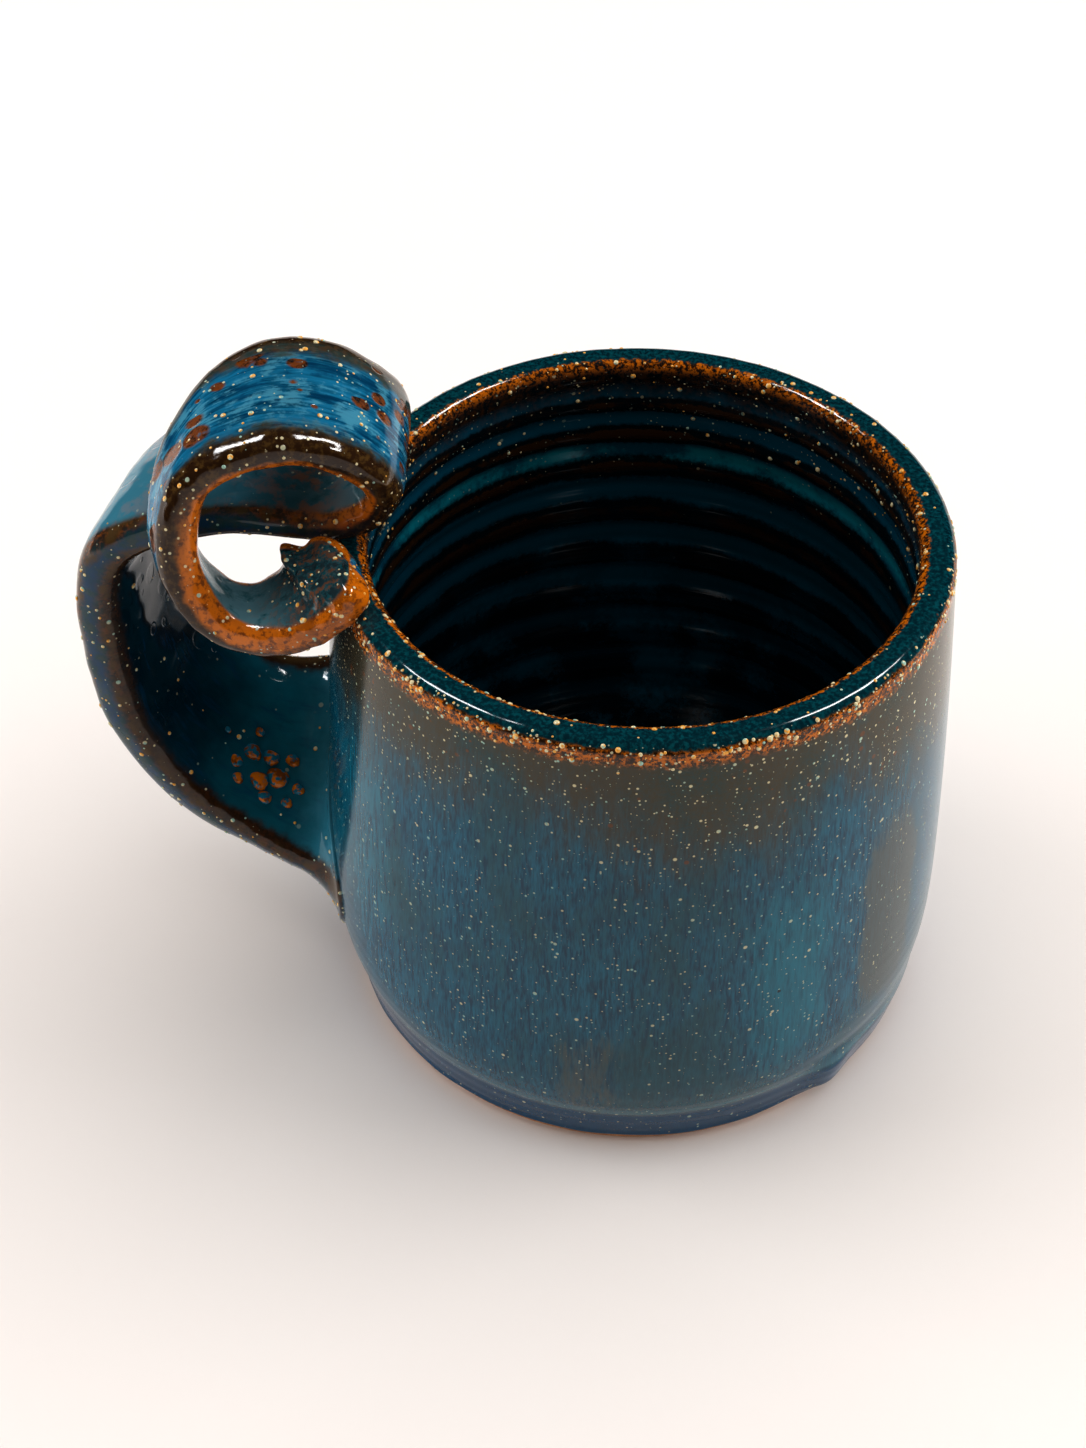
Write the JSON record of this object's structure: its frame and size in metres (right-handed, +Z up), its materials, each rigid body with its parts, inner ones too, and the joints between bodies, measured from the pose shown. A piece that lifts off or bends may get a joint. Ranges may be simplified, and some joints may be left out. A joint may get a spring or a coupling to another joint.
{
  "type": "ceramic mug",
  "caption": "Hand-thrown glazed mug with a wide strap handle that climbs over the lip and rolls into an open curl.",
  "frame": {"origin": "middle of the foot's underside, on the mug's axis", "axes": "+Z up the mug's axis, handle towards -X, loose end of the curl towards -Y"},
  "size_m": [0.1261, 0.0922, 0.1055],
  "materials": {
    "stoneware": "matte",
    "blue_glaze": "gloss",
    "amber_glaze": "gloss",
    "liner_glaze": "gloss"
  },
  "bodies": {
    "root": {"thrown_body": "stoneware", "foot_ring": "stoneware", "strap_ear": "stoneware", "strap_curl": "stoneware", "strap_tail": "stoneware", "outer_glaze": "blue_glaze", "lip_glaze": "amber_glaze", "liner_glaze": "liner_glaze", "ear_glaze": "blue_glaze", "curl_glaze": "blue_glaze", "tail_glaze": "amber_glaze", "glaze_beads": "amber_glaze", "glaze_line_roll": "blue_glaze", "glaze_drop": "blue_glaze"}
  },
  "joints": []
}
